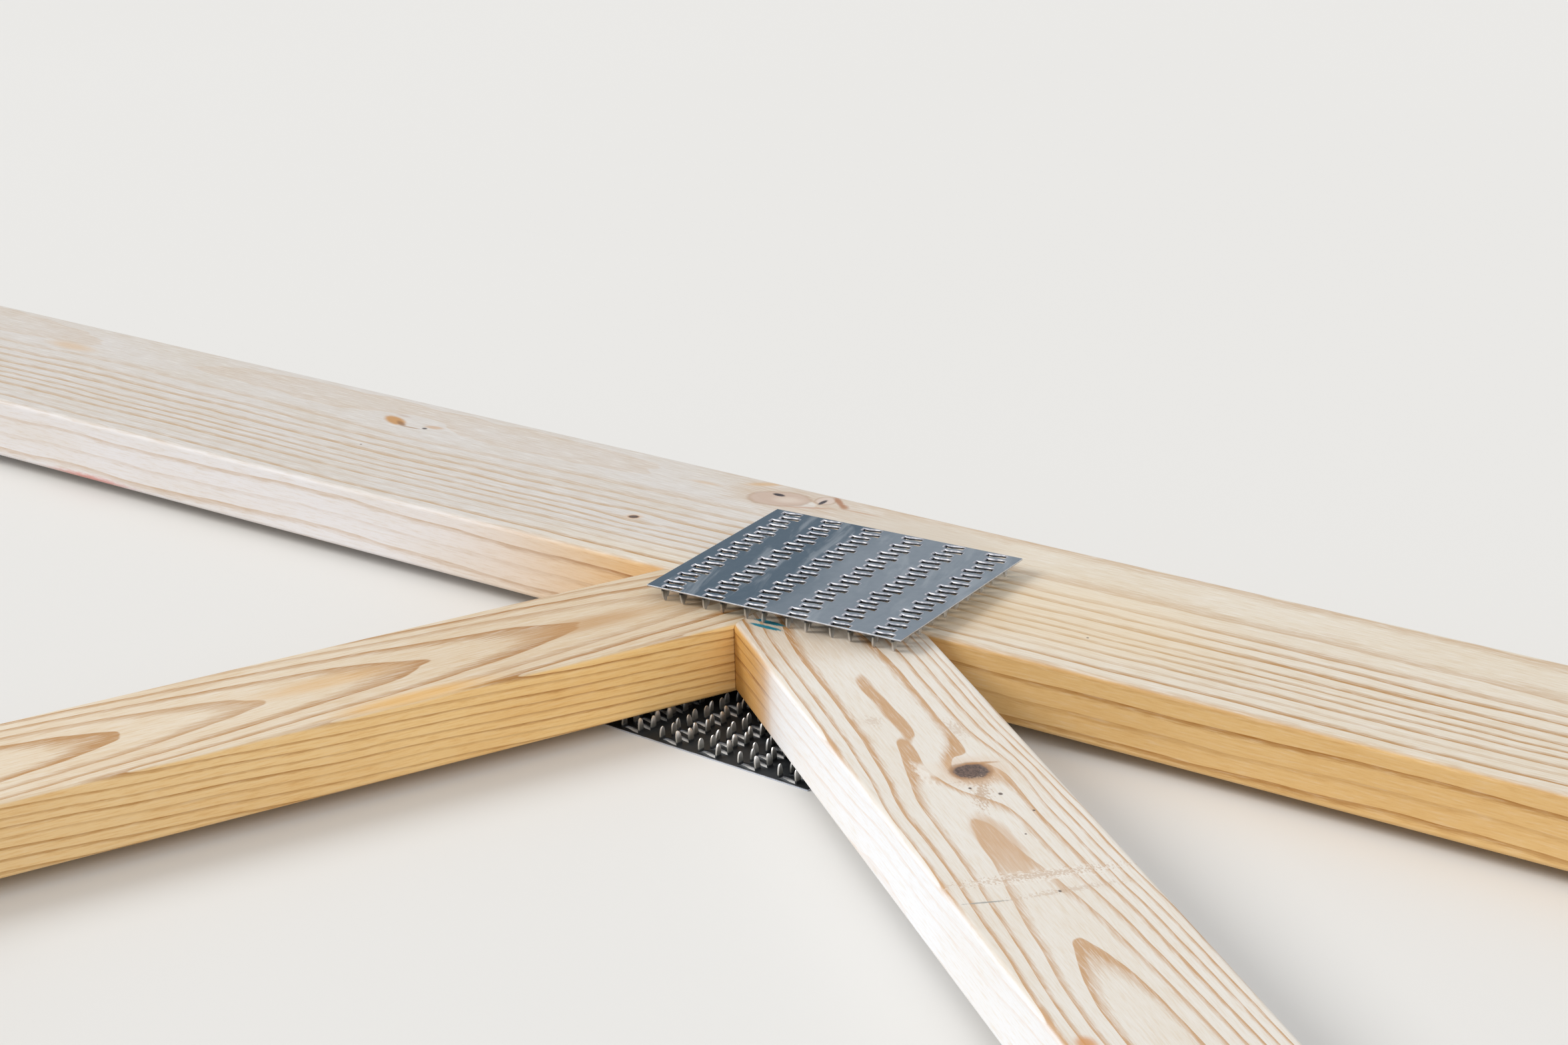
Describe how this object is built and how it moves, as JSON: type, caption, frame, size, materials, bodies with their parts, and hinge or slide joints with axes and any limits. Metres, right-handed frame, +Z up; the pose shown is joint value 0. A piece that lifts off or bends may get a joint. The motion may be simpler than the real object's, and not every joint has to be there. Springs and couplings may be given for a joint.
{
  "type": "wooden roof truss",
  "caption": "Gabled W roof truss of softwood boards, lying flat, with toothed galvanised nail plates laid on and under its joints, ready for pressing.",
  "frame": {"origin": "centre of the bounding box, at floor level under the lower nail plates", "axes": "+X along the span, +Y in the truss plane from the bottom chord to the ridge, +Z up from the floor"},
  "size_m": [7.9248, 1.468, 0.0549],
  "materials": {
    "chord_lumber": "planed softwood, unfinished",
    "web_lumber": "planed softwood, unfinished",
    "nail_plate": "galvanised"
  },
  "bodies": {
    "root": {"bottom_chord": "chord_lumber", "top_chord_left": "chord_lumber", "top_chord_right": "chord_lumber", "short_web_left": "web_lumber", "short_web_right": "web_lumber", "long_web_left": "web_lumber", "long_web_right": "web_lumber", "node_plate_left_upper": "nail_plate", "node_plate_left_lower": "nail_plate", "node_plate_right_upper": "nail_plate", "node_plate_right_lower": "nail_plate", "ridge_plate_upper": "nail_plate", "ridge_plate_lower": "nail_plate", "heel_plate_left_upper": "nail_plate", "heel_plate_left_lower": "nail_plate", "heel_plate_right_upper": "nail_plate", "heel_plate_right_lower": "nail_plate", "strut_plate_left_upper": "nail_plate", "strut_plate_left_lower": "nail_plate", "strut_plate_right_upper": "nail_plate", "strut_plate_right_lower": "nail_plate"}
  },
  "joints": []
}
